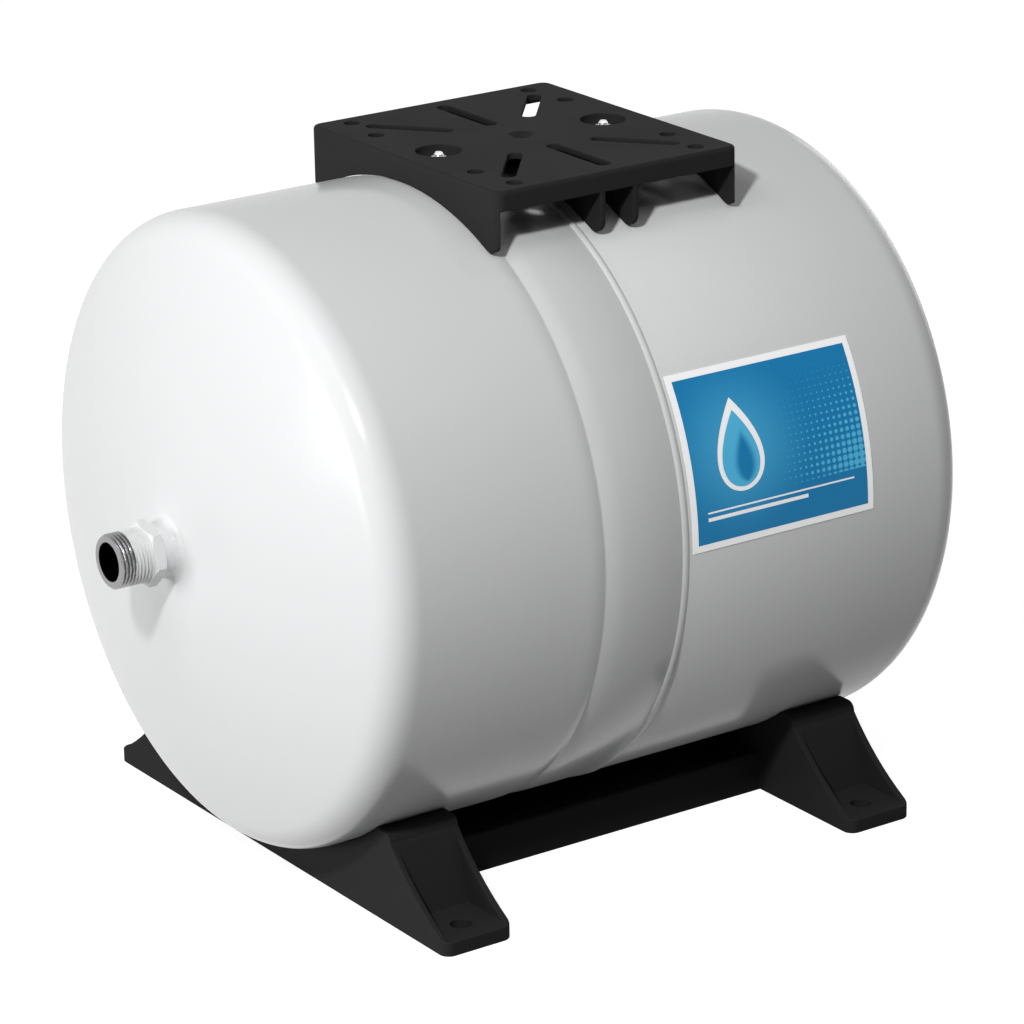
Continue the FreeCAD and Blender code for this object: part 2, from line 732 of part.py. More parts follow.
cup_depth = "(platform_rise - platform_gap - cup_floor)"
for side, sign in (("front", "-"), ("rear", "+")):
    middle = f"({sign}{cup_place})"
    solid_sketch = sketch_on(platform, "XY_Plane", f"cup_outline_{side}", seat)
    add_circle(solid_sketch, middle, "0", "cup_mouth_dia / 2 + cup_wall")
    pad(platform, f"cup_{side}", solid_sketch, "platform_rise - platform_gap")
    dish_sketch = sketch_on(platform, "XZ_Plane", f"cup_dish_outline_{side}")
    floor_line = f"({top} - {cup_depth})"
    add_loop(dish_sketch, [
        (middle, floor_line),
        (f"{middle} + cup_floor_dia / 2", floor_line),
        (f"{middle} + cup_mouth_dia / 2", top, "cup_round", 1),
        (middle, top),
    ])
    axis_line = dish_sketch.GeometryCount
    dish_sketch.addGeometry(Part.LineSegment(FreeCAD.Vector(value(middle), 0, 0),
                                             FreeCAD.Vector(value(middle), value(tank_radius), 0)), True)
    for end in (1, 2):
        index = dish_sketch.addConstraint(
            Sketcher.Constraint("DistanceX", -1, 1, axis_line, end, value(middle)))
        dish_sketch.setExpression(f"Constraints[{index}]", bound(middle))
    dish = platform.newObject("PartDesign::Groove", f"pump_platform_cup_dish_{side}")
    dish.Profile = dish_sketch
    dish.ReferenceAxis = (dish_sketch, ["Axis0"])
    dish.Angle = 360

# Openings in the top: stud holes, eight round holes, two cross slots, four slots along rays and
# the dished middle hole.

hole_sketch = sketch_on(platform, "XY_Plane", "hole_outline", top)
for sign in "-+":
    add_circle(hole_sketch, f"{sign}{cup_place}", "0", "stud_hole_dia / 2")
for along in "-+":
    for across in "-+":
        for place_x, place_y in hole_places:
            add_circle(hole_sketch, f"{along}{place_x}", f"{across}{place_y}", "pump_hole_dia / 2")
add_circle(hole_sketch, "0", "0", "centre_hole_dia / 2")


# A slot's end is an arc a little flatter than a half circle, which its sketch can solve.
slot_end_share = 1.0001


def add_slot(sketch, angle, start, end):
    """A slot with round ends along a ray from the middle, between two distances."""
    half = "slot_width / 2"
    places = [(start, "1"), (start, "-1"), (end, "-1"), (end, "1")]
    corners = []
    for distance, side in places:
        corners.append((f"{distance} * cos({angle}) + {side} * {half} * sin({angle})",
                        f"{distance} * sin({angle}) - {side} * {half} * cos({angle})"))
    round_start = (*corners[1], f"{half} * {slot_end_share}", -1)
    round_end = (*corners[3], f"{half} * {slot_end_share}", -1)
    add_loop(sketch, [corners[0], round_start, corners[2], round_end])


for angle in ("90", "270"):
    add_slot(hole_sketch, angle, "cross_slot_near", f"({half_width} - cross_slot_room)")
ray_slot_far = f"(({half_width} - ray_slot_room) / sin(ray_slot_angle))"
for angle in ("ray_slot_angle", "(180 - ray_slot_angle)", "(180 + ray_slot_angle)", "(-ray_slot_angle)"):
    add_slot(hole_sketch, angle, "ray_slot_near", ray_slot_far)
pocket(platform, "holes", hole_sketch, "platform_rise")
dish_sketch = sketch_on(platform, "XZ_Plane", "centre_dish_outline")
add_loop(dish_sketch, [
    ("0", f"{top} - centre_dish_depth"),
    ("centre_hole_dia / 2", f"{top} - centre_dish_depth"),
    ("centre_dish_dia / 2", top),
    ("0", top),
])
centre_dish = platform.newObject("PartDesign::Groove", "pump_platform_centre_dish")
centre_dish.Profile = dish_sketch
centre_dish.ReferenceAxis = (dish_sketch, ["V_Axis"])
centre_dish.Angle = 360


# Base: one moulding. Each of its two feet is a saddle between two cross walls, hollow from
# below, whose walls run out as sloping webs beside a channel to the pad with the fixing hole.
# Two long beams with a deck between them join the feet.

base = sub_part("base")
foot_place = "(straight_half - foot_setback)"
hole_reach = f"({tank_radius} - foot_hole_inset)"
toe_reach = f"({hole_reach} + toe_room)"
web_foot = f"({hole_reach} - web_room)"
saddle = f"({tank_radius} + saddle_gap)"
saddle_half = f"({saddle} * sin(saddle_angle))"
horn_height = f"({axis_height} - {saddle} * cos(saddle_angle))"
horn_reach = f"({saddle_half} + horn_land)"
beam_reach = f"({horn_reach} - beam_inset)"
beam_inside = f"({beam_reach} - beam_wall)"
deck_height = "(belly_height - deck_room)"
deck_under = f"({deck_height} - deck_plate)"
beam_height = f"({deck_height} + beam_lip)"
cell_arc = f"({saddle} + saddle_skin)"
cell_roof = f"({horn_height} - saddle_skin)"
cell_roof_half = f"sqrt({cell_arc}^2 - ({axis_height} - {cell_roof})^2)"
foot_inner = "(foot_width - 2 * foot_wall)"

for side, sign in (("front", "-"), ("rear", "+")):
    middle = f"{sign}{foot_place}"
    wall_sketch = sketch_on(base, "YZ_Plane", f"foot_outline_{side}", middle)
    add_loop(wall_sketch, [
        (f"-{toe_reach}", "0"),
        (toe_reach, "0"),
        (toe_reach, "pad_height"),
        (f"{toe_reach} - toe_flat", "pad_height"),
        (horn_reach, f"{horn_height} - horn_round", "slope_radius", -1),
        (f"{horn_reach} - horn_round", horn_height, "horn_round", 1),
        (saddle_half, horn_height),
        (f"-{saddle_half}", horn_height, saddle, -1),
        (f"-({horn_reach} - horn_round)", horn_height),
        (f"-{horn_reach}", f"{horn_height} - horn_round", "horn_round", 1),
        (f"-({toe_reach} - toe_flat)", "pad_height", "slope_radius", -1),
        (f"-{toe_reach}", "pad_height"),
    ])
    pad(base, f"foot_{side}", wall_sketch, "foot_width", symmetric=True)

tray_sketch = sketch_on(base, "YZ_Plane", "tray_outline")
add_loop(tray_sketch, [
    (beam_reach, "0"),
    (beam_reach, beam_height),
    (beam_inside, beam_height),
    (beam_inside, deck_height),
    (f"-{beam_inside}", deck_height),
    (f"-{beam_inside}", beam_height),
    (f"-{beam_reach}", beam_height),
    (f"-{beam_reach}", "0"),
    (f"-{beam_inside}", "0"),
    (f"-{beam_inside}", deck_under),
    (beam_inside, deck_under),
    (beam_inside, "0"),
])
pad(base, "tray", tray_sketch, f"2 * {foot_place} - foot_width + 2 * overrun", symmetric=True)
for place, name in (("-tray_rib_place", "front"), ("0", "middle"), ("tray_rib_place", "rear")):
    rib_sketch = sketch_on(base, "YZ_Plane", f"tray_rib_outline_{name}", place)
    add_rectangle(rib_sketch, f"-{beam_inside} - overrun", f"{beam_inside} + overrun",
                  "0", f"{deck_under} + overrun")
    pad(base, f"tray_rib_{name}", rib_sketch, "tray_rib_wall", symmetric=True)

# The channels between the walls of a foot are cut from outside, and its cells from below.

for side, sign in (("front", "-"), ("rear", "+")):
    middle = f"{sign}{foot_place}"
    channel_sketch = sketch_on(base, "YZ_Plane", f"channel_outline_{side}", middle)
    cell_sketch = sketch_on(base, "YZ_Plane", f"cell_outline_{side}", middle)
    for hand, turn in (("+", 1), ("-", -1)):
        add_loop(channel_sketch, [
            (f"{hand}{horn_reach}", horn_height),
            (f"{hand}{web_foot}", "pad_height"),
            (f"{hand}({toe_reach} + overrun)", "pad_height"),
            (f"{hand}({toe_reach} + overrun)", horn_height),
        ])
        add_loop(cell_sketch, [
            (f"{hand}{beam_reach}", "-overrun"),
            (f"{hand}({web_foot} - saddle_skin)", "-overrun"),
            (f"{hand}({web_foot} - saddle_skin)", "pad_height - saddle_skin"),
            (f"{hand}({horn_reach} - saddle_skin)", cell_roof),
            (f"{hand}{cell_roof_half}", cell_roof),
            (f"{hand}{beam_reach}", f"{axis_height} - sqrt({cell_arc}^2 - {beam_reach}^2)", cell_arc, -turn),
        ])
    cell_top = f"{axis_height} - sqrt({cell_arc}^2 - {beam_inside}^2)"
    add_loop(cell_sketch, [
        (f"-{beam_inside}", "-overrun"),
        (beam_inside, "-overrun"),
        (beam_inside, cell_top),
        (f"-{beam_inside}", cell_top, cell_arc, -1),
    ])
    pocket(base, f"channel_{side}", channel_sketch, foot_inner, symmetric=True)
    pocket(base, f"cells_{side}", cell_sketch, foot_inner, symmetric=True)

# Pads are hollow from below round a boss for the fixing bolt, and their outer corners are round.
# The studs pass through the saddles.

hollow_sketch = sketch_on(base, "XY_Plane", "pad_hollow_outline")
bolt_sketch = sketch_on(base, "XY_Plane", "bolt_hole_outline")
toe_sketch = sketch_on(base, "XY_Plane", "toe_corner_outline")
for along in "-+":
    middle_x = f"({along}{foot_place})"
    add_circle(bolt_sketch, middle_x, "0", "stud_hole_dia / 2")
    for across in "-+":
        middle_y = f"({across}{hole_reach})"
        toe_y = f"({across}{toe_reach})"
        add_rectangle(hollow_sketch, f"{middle_x} - {foot_inner} / 2", f"{middle_x} + {foot_inner} / 2",
                      f"{across}{web_foot}", f"{toe_y} - ({across}foot_wall)")
        add_circle(hollow_sketch, middle_x, middle_y, "foot_boss_dia / 2")
        add_circle(bolt_sketch, middle_x, middle_y, "foot_hole_dia / 2")
        for edge in "-+":
            side_x = f"({middle_x} + ({edge}foot_width / 2))"
            round_x = f"{side_x} - ({edge}toe_round)"
            past_x = f"{side_x} + ({edge}overrun)"
            round_y = f"{toe_y} - ({across}toe_round)"
            add_loop(toe_sketch, [
                (past_x, round_y),
                (side_x, round_y),
                (round_x, toe_y, "toe_round", 1 if edge == across else -1),
                (round_x, f"{toe_y} + ({across}overrun)"),
                (past_x, f"{toe_y} + ({across}overrun)"),
            ])
pocket(base, "pad_hollows", hollow_sketch, "pad_height - pad_skin", reverse=True)
pocket(base, "bolt_holes", bolt_sketch, horn_height, reverse=True)
pocket(base, "toe_corners", toe_sketch, horn_height, reverse=True)

# Studs, washers and nuts. A stud is welded to the shell by its collar. The platform's pair points
# up and the base's pair points down, and each carries a washer and a nut against its moulding.


def fastening(name, along, up, floor, upward):
    """One stud with its washer and nut, from the shell outwards through a floor of plastic."""
    turn = "1" if upward else "-1"
    stack = f"({floor} + washer_thick + nut_len + stud_proud)"

    stud = sub_part(f"{name}_stud", along=along, up=up)
    revolve(stud, "turned", [
        ("0", "0"),
        ("stud_weld_dia / 2", "0"),
        ("stud_weld_dia / 2", f"{turn} * stud_weld_len"),
        ("stud_dia / 2", f"{turn} * stud_weld_len"),
        ("stud_dia / 2", f"{turn} * ({stack} - stud_chamfer)"),
        ("stud_dia / 2 - stud_chamfer", f"{turn} * {stack}"),
        ("0", f"{turn} * {stack}"),
    ], axis="V_Axis")

    washer = sub_part(f"{name}_washer", along=along, up=up)
    revolve(washer, "turned", [
        ("washer_bore / 2", f"{turn} * {floor}"),
        ("washer_dia / 2", f"{turn} * {floor}"),
        ("washer_dia / 2", f"{turn} * ({floor} + washer_thick)"),
        ("washer_bore / 2", f"{turn} * ({floor} + washer_thick)"),
    ], axis="V_Axis")

    nut = sub_part(f"{name}_nut", along=along, up=up)
    start = f"{floor} + washer_thick" if upward else f"-({floor} + washer_thick + nut_len)"
    nut_sketch = sketch_on(nut, "XY_Plane", "outline", start)
    add_hexagon(nut_sketch, "nut_flats")
    add_circle(nut_sketch, "0", "0", "stud_dia / 2")
    pad(nut, "hexagon", nut_sketch, "nut_len")


for side, sign in (("front", "-"), ("rear", "+")):
    fastening(f"platform_{side}", f"platform_place {sign} {cup_place}", f"{axis_height} + {tank_radius}",
              "(platform_gap + cup_floor)", True)
    fastening(f"base_{side}", f"{sign}{foot_place}", "belly_height", "(saddle_gap + saddle_skin)", False)

doc.recompute()

failed = [item.Name for item in doc.Objects if {"Invalid", "Error"} & set(item.State)]
if failed:
    raise RuntimeError(f"these objects failed: {failed}")
pieces = [item for item in doc.Objects if item.TypeId == "PartDesign::Body"]
for piece in pieces:
    if piece.Shape.isNull() or not piece.Shape.isValid() or len(piece.Shape.Solids) != 1:
        raise RuntimeError(f"{piece.Label} is not one valid solid")

os.makedirs("parts", exist_ok=True)
for piece in pieces:
    piece.Shape.exportStep(f"parts/{piece.Label}.step")
    box = piece.Shape.BoundBox
    print(f"{piece.Label}: {piece.Shape.Volume / 1000:.1f} cm3, x {box.XMin:.1f} to {box.XMax:.1f},"
          f" y {box.YMin:.1f} to {box.YMax:.1f}, z {box.ZMin:.1f} to {box.ZMax:.1f}")
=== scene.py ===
import math

import bmesh
import bpy
from mathutils import Matrix, Vector


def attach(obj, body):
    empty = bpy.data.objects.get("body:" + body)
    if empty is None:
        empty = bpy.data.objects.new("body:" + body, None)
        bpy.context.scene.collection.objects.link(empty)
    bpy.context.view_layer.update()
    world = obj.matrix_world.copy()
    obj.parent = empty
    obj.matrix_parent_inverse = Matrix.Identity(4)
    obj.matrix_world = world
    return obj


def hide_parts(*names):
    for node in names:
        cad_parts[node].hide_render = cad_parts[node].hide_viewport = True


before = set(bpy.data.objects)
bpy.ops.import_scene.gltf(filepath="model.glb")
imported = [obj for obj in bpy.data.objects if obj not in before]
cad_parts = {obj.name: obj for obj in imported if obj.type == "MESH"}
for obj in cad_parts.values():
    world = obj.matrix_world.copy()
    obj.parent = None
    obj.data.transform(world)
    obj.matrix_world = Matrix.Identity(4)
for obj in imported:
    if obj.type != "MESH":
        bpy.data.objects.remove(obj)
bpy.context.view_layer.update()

# Steel shells. Two halves pressed from 1.8 mm sheet, each a straight wall that turns through a
# knuckle into a shallow dome. The inlet half has a rolled groove that traps the diaphragm. Both
# are powder coated white after they are welded together.

axis_height = 0.2137
tank_radius = 0.1945
plate = 0.0018
straight_half = 0.1869
dish_depth = 0.0538
knuckle = 0.025
flat_part = tank_radius - knuckle
crown = (dish_depth**2 + flat_part**2 - knuckle**2) / (2 * (dish_depth - knuckle))
crown_middle = straight_half + dish_depth - crown
knuckle_turn = math.asin(flat_part / (crown - knuckle))
crown_steps = 26
knuckle_steps = 14
groove_place = -0.0599
groove_runs = (-0.015, 0.013)
groove_curls = (2.8, 1.9)
groove_depth = 0.0018
groove_steps = 16
weld_place = -0.0033
weld_width = 0.005
weld_root = 0.0004
inlet_hole = 0.01665
boss_hole = 0.009
shell_segments = 256
paint_white = (0.73, 0.735, 0.74)
cloud_scale = 14.0
cloud_range = (0.3, 0.7)
hair = 1e-5
on_axis = Matrix.Translation((0, 0, axis_height))


def node(tree, kind, inputs=(), **settings):
    """A node with its settings. An input that is a socket is linked, and any other is typed in."""
    made = tree.nodes.new(kind)
    for name, value in settings.items():
        setattr(made, name, value)
    pairs = inputs.items() if isinstance(inputs, dict) else enumerate(inputs)
    for place, value in pairs:
        if isinstance(value, bpy.types.NodeSocket):
            tree.links.new(value, made.inputs[place])
        elif value is not None:
            made.inputs[place].default_value = value
    return made


def maths(tree, operation, *values, clamp=False):
    return node(tree, "ShaderNodeMath", values, operation=operation, use_clamp=clamp).outputs[0]


def times(tree, *values):
    """The product of two or more values."""
    total = values[0]
    for value in values[1:]:
        total = maths(tree, "MULTIPLY", total, value)
    return total


def ramp(tree, value, start, end, smooth=True):
    """0 at start, 1 at end, and flat beyond them."""
    kind = "SMOOTHSTEP" if smooth else "LINEAR"
    return node(tree, "ShaderNodeMapRange", [value, start, end, 0.0, 1.0], interpolation_type=kind,
                clamp=True).outputs[0]


def recipe(name, **sizes):
    """A geometry tree for one step of the work, with its sizes and its material as named inputs."""
    tree = bpy.data.node_groups.new(name, "GeometryNodeTree")
    kinds = {int: "NodeSocketInt", float: "NodeSocketFloat"}
    tree.interface.new_socket("Geometry", in_out="INPUT", socket_type="NodeSocketGeometry")
    for label, value in sizes.items():
        socket = tree.interface.new_socket(label, in_out="INPUT", socket_type=kinds[type(value)])
        socket.default_value = value
    tree.interface.new_socket("Material", in_out="INPUT", socket_type="NodeSocketMaterial")
    tree.interface.new_socket("Geometry", in_out="OUTPUT", socket_type="NodeSocketGeometry")
    return tree, node(tree, "NodeGroupInput").outputs


def end_recipe(tree, geometry, given):
    real = node(tree, "GeometryNodeRealizeInstances", [geometry]).outputs[0]
    coated = node(tree, "GeometryNodeSetMaterial",
                  {"Geometry": real, "Material": given["Material"]})
    node(tree, "NodeGroupOutput", [coated.outputs[0]])


def radius_of(tree, across, up):
    return maths(tree, "SQRT", maths(tree, "ADD", times(tree, across, across), times(tree, up, up)))


def round_the_axis(tree):
    """Each point's place along X, its radius and its angle from straight up."""
    place = node(tree, "GeometryNodeInputPosition").outputs[0]
    along, across, up = node(tree, "ShaderNodeSeparateXYZ", [place]).outputs
    return along, radius_of(tree, across, up), maths(tree, "ARCTAN2", across, up)


def move_out(tree, geometry, along, radius, angle):
    """The geometry with each point at its place along X, its radius and its angle."""
    place = node(tree, "ShaderNodeCombineXYZ", [
        along,
        times(tree, radius, maths(tree, "SINE", angle)),
        times(tree, radius, maths(tree, "COSINE", angle)),
    ]).outputs[0]
    return node(tree, "GeometryNodeSetPosition",
                {"Geometry": geometry, "Position": place}).outputs[0]


def within(tree, value, low, high):
    """1 between two values and 0 elsewhere."""
    return times(tree, maths(tree, "GREATER_THAN", value, low),
                 maths(tree, "LESS_THAN", value, high))


def excess(tree, radius, limit):
    """How far the radius is past the limit, and 0 within it."""
    return maths(tree, "MAXIMUM", maths(tree, "SUBTRACT", radius, limit), 0.0)


# The lathe turns a line of points about X: a grid with a row for each point, bent round the axis.
lathe, given = recipe("lathe", Segments=192)
points = node(lathe, "GeometryNodeAttributeDomainSize", [given["Geometry"]],
              component="MESH").outputs[0]
last_point = maths(lathe, "SUBTRACT", points, 1.0)
turns = maths(lathe, "ADD", given["Segments"], 1.0)
blank = node(lathe, "GeometryNodeMeshGrid", [last_point, 2 * math.pi, points, turns]).outputs[0]
place = node(lathe, "GeometryNodeInputPosition").outputs[0]
row, turn = node(lathe, "ShaderNodeSeparateXYZ", [place]).outputs[:2]
index = maths(lathe, "ROUND", maths(lathe, "ADD", row, times(lathe, last_point, 0.5)))
picked = node(lathe, "GeometryNodeSampleIndex",
              {"Geometry": given["Geometry"], "Value": place, "Index": index},
              data_type="FLOAT_VECTOR").outputs["Value"]
along, across, radius = node(lathe, "ShaderNodeSeparateXYZ", [picked]).outputs
turned_blank = move_out(lathe, blank, along, radius, maths(lathe, "ADD", turn, math.pi))
joined = node(lathe, "GeometryNodeMergeByDistance",
              {"Geometry": turned_blank, "Distance": hair}).outputs[0]
smooth = node(lathe, "GeometryNodeSetShadeSmooth", [joined]).outputs[0]
end_recipe(lathe, smooth, given)


def run(piece, tree, material, **sizes):
    """Adds the tree to the piece as a modifier, with its named inputs."""
    modifier = piece.modifiers.new(tree.name, "NODES")
    modifier.node_group = tree
    sizes["Material"] = material
    for item in tree.interface.items_tree:
        if item.in_out == "INPUT" and item.name in sizes:
            modifier[item.identifier] = sizes[item.name]


def applied(piece):
    """The piece's mesh with its modifiers, which are taken off it."""
    bpy.context.view_layer.update()
    shaped = piece.evaluated_get(bpy.context.evaluated_depsgraph_get())
    mesh = bpy.data.meshes.new_from_object(shaped)
    piece.modifiers.clear()
    return mesh


def settle(piece, place=Matrix.Identity(4), crease=35):
    """The finished piece as a plain mesh at its place, with its faces outwards."""
    mesh = applied(piece)
    mesh.transform(place)
    work = bmesh.new()
    work.from_mesh(mesh)
    bmesh.ops.recalc_face_normals(work, faces=work.faces)
    work.to_mesh(mesh)
    work.free()
    mesh.shade_smooth()
    mesh.set_sharp_from_angle(angle=math.radians(crease))
    mesh.name = piece.name
    piece.data = mesh
    return piece


def new_piece(name, points, edges=(), faces=()):
    mesh = bpy.data.meshes.new(name)
    mesh.from_pydata(points, edges, faces)
    piece = bpy.data.objects.new(name, mesh)
    bpy.context.collection.objects.link(piece)
    return piece


def turned(name, outline, material, segments, steps=(), place=on_axis):
    """A piece turned about X from a closed outline of (along, radius), then cut by more steps."""
    loop = [(along, 0, radius) for along, radius in [*outline, outline[0]]]
    piece = new_piece(name, loop, [(start, start + 1) for start in range(len(loop) - 1)])
    run(piece, lathe, material, Segments=segments)
    for tree, sizes in steps:
        run(piece, tree, material, **sizes)
    return settle(piece, place)


def arc(middle, radius, start, end, count):
    """Points of an arc in the outline's plane, both ends included, with angles from the axis."""
    turns = [start + (end - start) * step / count for step in range(count + 1)]
    return [(middle[0] + radius * math.cos(turn), middle[1] + radius * math.sin(turn))
            for turn in turns]


def line(start, end, count):
    """Points from start to end, both included."""
    return [(start[0] + (end[0] - start[0]) * step / count,
             start[1] + (end[1] - start[1]) * step / count) for step in range(count + 1)]


def dome(depth, hole):
    """The dome's curve at a depth below the outside, from the hole at the middle to the wall."""
    reach = crown - depth
    cap = arc((crown_middle, 0), reach, math.asin(hole / reach), knuckle_turn, crown_steps)
    bend = arc((straight_half, flat_part), knuckle - depth, knuckle_turn, math.pi / 2,
               knuckle_steps)
    return cap + bend[1:]


def dome_at(radius):
    """Where the dome's outside stands along X at a radius."""
    return crown_middle + math.sqrt(crown**2 - radius**2)


def groove(depth):
    """The rolled groove from front to rear: two curves off the wall that meet in a tight bend."""
    sides = []
    for run_out, curl in zip(groove_runs, groove_curls):
        shares = [step / groove_steps for step in range(groove_steps + 1)]
        sides.append([(groove_place + run_out * (1 - share),
                       tank_radius - depth - groove_depth * share**curl) for share in shares])
    return sides[0] + sides[1][-2::-1]


def bevelled_end(side):
    """A shell's open end, bevelled for the weld, from the outside in."""
    return [(weld_place + side * weld_width / 2, tank_radius),
            (weld_place, tank_radius - plate + weld_root), (weld_place, tank_radius - plate)]


def effect(name, inputs, outputs):
    """A shader node group with its sockets."""
    group = bpy.data.node_groups.new(name, "ShaderNodeTree")
    for label, kind in inputs.items():
        group.interface.new_socket(label, in_out="INPUT", socket_type=kind)
    for label, kind in outputs.items():
        group.interface.new_socket(label, in_out="OUTPUT", socket_type=kind)
    return group, node(group, "NodeGroupInput").outputs, node(group, "NodeGroupOutput")


# Grain: the small bumps that spray, mould texture and casting leave, with a slow change of shine.
grain, asked, answer = effect(
    "grain", {"Place": "NodeSocketVector", "Grain Size": "NodeSocketFloat"},
    {"Height": "NodeSocketFloat", "Shine": "NodeSocketFloat"})
often = maths(grain, "DIVIDE", 1.0, asked["Grain Size"])
for label, scale, detail in (("Height", often, 2.0), ("Shine", cloud_scale, 3.0)):
    noise = node(grain, "ShaderNodeTexNoise",
                 {"Vector": asked["Place"], "Scale": scale, "Detail": detail})
    grain.links.new(noise.outputs[0], answer.inputs[label])


def finish(name, colour, roughness, metallic=0.0, specular=0.5):
    """A material with one Principled shader."""
    material = bpy.data.materials.new(name)
    material.use_nodes = True
    tree = material.node_tree
    tree.nodes.clear()
    shader = node(tree, "ShaderNodeBsdfPrincipled", {
        "Base Color": (*colour, 1), "Roughness": roughness, "Metallic": metallic,
        "Specular IOR Level": specular})
    node(tree, "ShaderNodeOutputMaterial", [shader.outputs[0]])
    return material, tree, shader


def texture(tree, shader, grain_size, grain_depth, shine=None):
    """Grain on a material: bumps of a size and depth in metres, and a roughness that drifts."""
    place = node(tree, "ShaderNodeTexCoord").outputs["Object"]
    made = node(tree, "ShaderNodeGroup")
    made.node_tree = grain
    tree.links.new(place, made.inputs["Place"])
    made.inputs["Grain Size"].default_value = grain_size
    bump = node(tree, "ShaderNodeBump", {"Strength": 1.0, "Distance": grain_depth,
                                         "Height": made.outputs["Height"]})
    tree.links.new(bump.outputs[0], shader.inputs["Normal"])
    if shine:
        spread = node(tree, "ShaderNodeMapRange", [made.outputs["Shine"], *cloud_range, *shine])
        tree.links.new(spread.outputs[0], shader.inputs["Roughness"])


powder_coat, coat_tree, coat_shader = finish("powder_coat", paint_white, 0.21, specular=0.16)
texture(coat_tree, coat_shader, grain_size=0.0016, grain_depth=0.0000015, shine=(0.2, 0.22))

rear_outline = dome(0, boss_hole) + bevelled_end(1) + dome(plate, boss_hole)[::-1]
rear_shell = turned("rear_shell_pressing", rear_outline, powder_coat, shell_segments)
front_dome = [(-along, radius) for along, radius in dome(0, inlet_hole)]
front_inside = [(-along, radius) for along, radius in dome(plate, inlet_hole)]
front_outline = (front_dome + groove(0) + bevelled_end(-1) + groove(plate)[::-1]
                 + front_inside[::-1])
front_shell = turned("front_shell_pressing", front_outline, powder_coat, shell_segments)
for piece, replaced in ((rear_shell, "rear_shell"), (front_shell, "front_shell")):
    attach(piece, "root")
    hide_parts(replaced)

# Girth weld. One pass round the tank fills the bevel between the shells. It stands proud as a low
# bead with fine ripples, and the powder coat covers it.

bead_height = 0.001
bead_radius = ((weld_width / 2)**2 + bead_height**2) / (2 * bead_height)
bead_turn = math.asin(weld_width / 2 / bead_radius)
bead_steps = 10
bead_segments = 1200
ripple_lag = 5.0
wave_share = 0.5
drift_share = 1.4
drift_scale = 60.0

# Ripples: waves along a bead that trail at its edges, with a slow drift in their height.
ripples, given = recipe("weld_ripples", Count=10.0, Height=0.0001, Middle=0.0, Width=0.001,
                        Inside=0.01)
along, radius, angle = round_the_axis(ripples)
from_middle = maths(ripples, "SUBTRACT", along, given["Middle"])
across_bead = maths(ripples, "DIVIDE", from_middle, given["Width"])
lag = times(ripples, across_bead, across_bead, ripple_lag)
wave = maths(ripples, "COSINE", maths(ripples, "ADD", times(ripples, angle, given["Count"]), lag))
drift = node(ripples, "ShaderNodeTexNoise", {"Scale": drift_scale, "Detail": 1.0}).outputs[0]
uneven = maths(ripples, "ADD", times(ripples, wave, wave_share),
               times(ripples, drift, drift_share))
sunk = times(ripples, maths(ripples, "SUBTRACT", uneven, wave_share + drift_share),
             given["Height"], maths(ripples, "GREATER_THAN", radius, given["Inside"]))
lifted = maths(ripples, "ADD", radius, sunk)
end_recipe(ripples, move_out(ripples, given["Geometry"], along, lifted, angle), given)

bead = arc((weld_place, tank_radius + bead_height - bead_radius), bead_radius,
           math.pi / 2 - bead_turn, math.pi / 2 + bead_turn, bead_steps)
girth_ripples = {"Count": 420.0, "Height": 0.00008, "Middle": weld_place, "Width": weld_width / 2,
                 "Inside": tank_radius + 1e-4}
girth_weld = turned("girth_weld_bead", [(weld_place, tank_radius - plate + weld_root)] + bead,
                    powder_coat, bead_segments, [(ripples, girth_ripples)])
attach(girth_weld, "root")
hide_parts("girth_weld")

# Inlet nipple. Turned from stainless hexagon bar: a 1 inch pipe thread, a collar with six flats
# for a wrench and a neck through the dome. Paint covers it from the middle of the thread inwards.

mouth = -0.2795
thread_radius = 0.016625
thread_pitch = 0.002309
thread_depth = 0.00148
thread_fade = 0.002
thread_crest = 0.08
thread_root = 0.92
thread_rows = 110
bore_radius = 0.0117
bore_chamfer = 0.0004
collar_start = mouth + 0.0215
collar_end = mouth + 0.0292
collar_flats = 0.0348
collar_corner = collar_flats / math.sqrt(3)
collar_chamfer = 0.0015
collar_turn = math.radians(12)
chamfer = 0.0012
neck_end = -(straight_half + dish_depth) + plate
nipple_segments = 144
painted_from = mouth + 0.0095
paint_edge = (painted_from + 0.0004, painted_from + 0.0008)
paint_wander = 0.0012
wander_scale = 260.0
# Painted shade for the bore: how far past the bore's radius the near black reaches, and that
# colour.
bore_shade_margin = 0.0003
bore_painted_shade = (0.012, 0.012, 0.012)
bare_metal = (0.29, 0.29, 0.295)

# The thread tool cuts a helical groove from the outside, which fades out at its inner end.
cut_thread, given = recipe("cut_thread", Pitch=0.001, Depth=0.001, Radius=0.01, Inside=0.005,
                           Start=0.0, End=0.01, Fade=0.001)
along, radius, angle = round_the_axis(cut_thread)
phase = maths(cut_thread, "ADD", maths(cut_thread, "DIVIDE", along, given["Pitch"]),
              maths(cut_thread, "DIVIDE", angle, 2 * math.pi))
side = times(cut_thread, maths(cut_thread, "PINGPONG", phase, 0.5), 2.0)
tooth = ramp(cut_thread, side, thread_crest, thread_root)
fade_start = maths(cut_thread, "SUBTRACT", given["End"], given["Fade"])
fading = node(cut_thread, "ShaderNodeMapRange", [along, fade_start, given["End"], 1.0, 0.0],
              clamp=True).outputs[0]
floor_line = maths(cut_thread, "SUBTRACT", given["Radius"],
                   times(cut_thread, tooth, fading, given["Depth"]))
lost = times(cut_thread, excess(cut_thread, radius, floor_line),
             maths(cut_thread, "GREATER_THAN", radius, given["Inside"]),
             within(cut_thread, along, given["Start"], given["End"]))
end_recipe(cut_thread, move_out(cut_thread, given["Geometry"], along,
                                maths(cut_thread, "SUBTRACT", radius, lost), angle), given)

